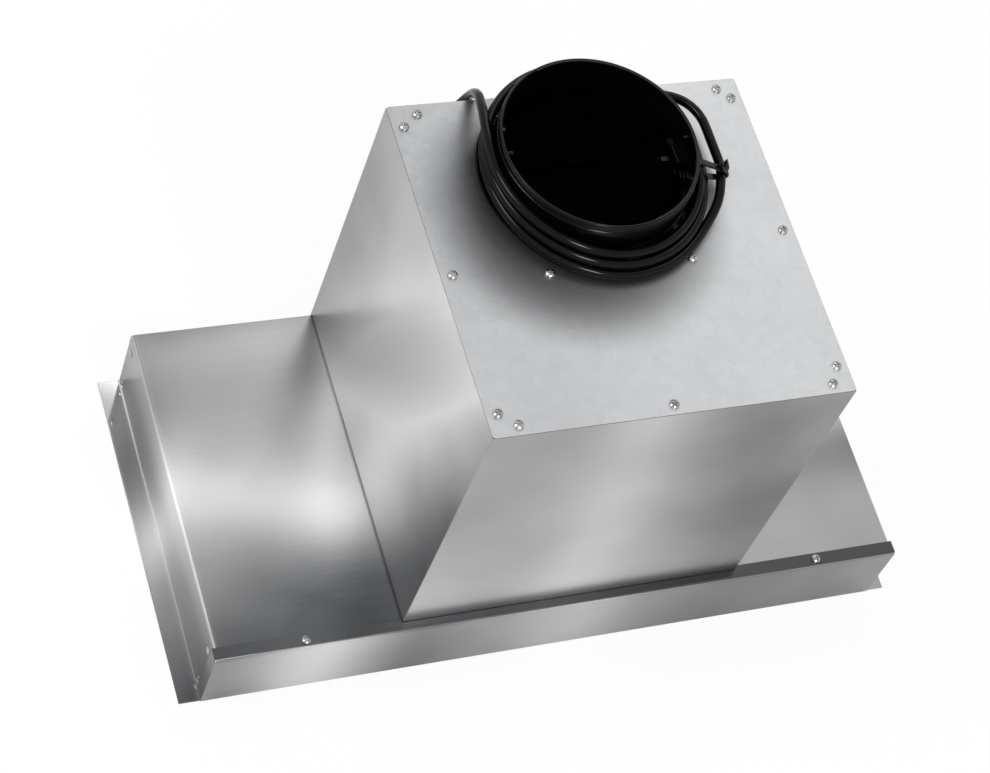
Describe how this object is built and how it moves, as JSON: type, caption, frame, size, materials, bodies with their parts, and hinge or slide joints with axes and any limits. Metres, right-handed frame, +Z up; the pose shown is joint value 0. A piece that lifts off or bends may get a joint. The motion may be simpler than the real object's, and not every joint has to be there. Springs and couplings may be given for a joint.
{
  "type": "built-in range hood",
  "caption": "Built-in stainless range hood: low canopy with baffle filters, lamps and push buttons under a tall blower box, round duct collar with backdraft flaps, lead wound round it.",
  "frame": {"origin": "middle of the underside of the sheet metal, level with the bottom of the side flanges", "axes": "+X is right seen from the front, +Y is towards the wall, +Z is up through the duct"},
  "size_m": [0.6, 0.3044, 0.3856],
  "materials": {
    "steel_sheet": "brushed",
    "zinc_sheet": "matte galvanised",
    "filter_steel": "satin",
    "screw_steel": "bright",
    "bracket_steel": "zinc plated",
    "shaft_steel": "ground",
    "motor_paint": "satin",
    "duct_plastic": "gloss",
    "flap_plastic": "matte",
    "cord_jacket": "gloss",
    "plug_rubber": "satin",
    "tie_plastic": "gloss",
    "gland_plastic": "satin",
    "grommet_rubber": "matte",
    "capacitor_plastic": "matte",
    "terminal_plastic": "matte",
    "lamp_trim_metal": "satin",
    "lamp_glass": "frosted",
    "lamp_can_metal": "satin",
    "switch_plastic": "matte",
    "button_metal": "satin"
  },
  "bodies": {
    "hood": {"left_wing_shell": "steel_sheet", "right_wing_shell": "steel_sheet", "front_panel": "steel_sheet", "rear_panel": "zinc_sheet", "underside_panel": "steel_sheet", "box_front_panel": "steel_sheet", "box_rear_panel": "zinc_sheet", "box_left_panel": "steel_sheet", "box_right_panel": "steel_sheet", "top_plate": "zinc_sheet", "duct_collar": "duct_plastic", "outlet_flange": "zinc_sheet", "scroll_wrap": "zinc_sheet", "scroll_left_plate": "zinc_sheet", "scroll_right_plate": "zinc_sheet", "motor": "motor_paint", "motor_bracket": "bracket_steel", "motor_grommets": "grommet_rubber", "motor_screws": "screw_steel", "capacitor": "capacitor_plastic", "capacitor_clamp": "bracket_steel", "terminal_box": "zinc_sheet", "terminal_cover": "zinc_sheet", "terminal_block": "terminal_plastic", "left_lamp_trim": "lamp_trim_metal", "left_lamp_lens": "lamp_glass", "left_lamp_can": "lamp_can_metal", "right_lamp_trim": "lamp_trim_metal", "right_lamp_lens": "lamp_glass", "right_lamp_can": "lamp_can_metal", "switch_block": "switch_plastic", "button_plate": "steel_sheet", "top_plate_screws": "screw_steel", "blower_screws": "screw_steel", "lip_screws": "screw_steel", "wall_rivets": "screw_steel", "collar_rivets": "screw_steel", "underside_screws": "screw_steel", "cord_gland": "gland_plastic", "cord_tail": "cord_jacket", "cord_coil": "cord_jacket", "cord_tie": "tie_plastic", "plug": "plug_rubber"},
    "rotor": {"impeller": "zinc_sheet", "motor_shaft": "shaft_steel"},
    "front_flap": {"front_flap": "flap_plastic"},
    "rear_flap": {"rear_flap": "flap_plastic"},
    "left_filter": {"left_filter_frame": "filter_steel", "left_lower_baffles": "filter_steel", "left_upper_baffles": "filter_steel"},
    "right_filter": {"right_filter_frame": "filter_steel", "right_lower_baffles": "filter_steel", "right_upper_baffles": "filter_steel"},
    "left_latch": {"left_filter_latch": "filter_steel"},
    "right_latch": {"right_filter_latch": "filter_steel"},
    "off_button": {"off_button": "button_metal"},
    "low_button": {"low_button": "button_metal"},
    "medium_button": {"medium_button": "button_metal"},
    "high_button": {"high_button": "button_metal"},
    "lamp_button": {"lamp_button": "button_metal"}
  },
  "joints": [
    {"name": "rotor_spin", "type": "hinge", "parent": "hood", "child": "rotor", "pos_m": [-0.0045, -0.0095, 0.205], "axis": [1, 0, 0], "continuous": true},
    {"name": "front_flap_hinge", "type": "hinge", "parent": "hood", "child": "front_flap", "pos_m": [-0.0045, 0.0635, 0.3556], "axis": [-1, 0, 0], "range_deg": [0, 80]},
    {"name": "rear_flap_hinge", "type": "hinge", "parent": "hood", "child": "rear_flap", "pos_m": [-0.0045, 0.0735, 0.3556], "axis": [1, 0, 0], "range_deg": [0, 80]},
    {"name": "left_filter_hinge", "type": "hinge", "parent": "hood", "child": "left_filter", "pos_m": [-0.1035, 0.1265, 0.009], "axis": [1, 0, 0], "range_deg": [0, 75]},
    {"name": "left_latch_slide", "type": "slide", "parent": "left_filter", "child": "left_latch", "axis": [0, 1, 0], "range_m": [0, 0.005], "stiffness_N_per_m": 250, "springref_m": -0.004},
    {"name": "right_filter_hinge", "type": "hinge", "parent": "hood", "child": "right_filter", "pos_m": [0.1035, 0.1265, 0.009], "axis": [1, 0, 0], "range_deg": [0, 75]},
    {"name": "right_latch_slide", "type": "slide", "parent": "right_filter", "child": "right_latch", "axis": [0, 1, 0], "range_m": [0, 0.005], "stiffness_N_per_m": 250, "springref_m": -0.004},
    {"name": "off_button_press", "type": "slide", "parent": "hood", "child": "off_button", "axis": [0, 0, 1], "range_m": [0, 0.003], "stiffness_N_per_m": 400, "springref_m": -0.002},
    {"name": "low_button_press", "type": "slide", "parent": "hood", "child": "low_button", "axis": [0, 0, 1], "range_m": [0, 0.003], "stiffness_N_per_m": 400, "springref_m": -0.002},
    {"name": "medium_button_press", "type": "slide", "parent": "hood", "child": "medium_button", "axis": [0, 0, 1], "range_m": [0, 0.003], "stiffness_N_per_m": 400, "springref_m": -0.002},
    {"name": "high_button_press", "type": "slide", "parent": "hood", "child": "high_button", "axis": [0, 0, 1], "range_m": [0, 0.003], "stiffness_N_per_m": 400, "springref_m": -0.002},
    {"name": "lamp_button_press", "type": "slide", "parent": "hood", "child": "lamp_button", "axis": [0, 0, 1], "range_m": [0, 0.003], "stiffness_N_per_m": 400, "springref_m": -0.002}
  ]
}
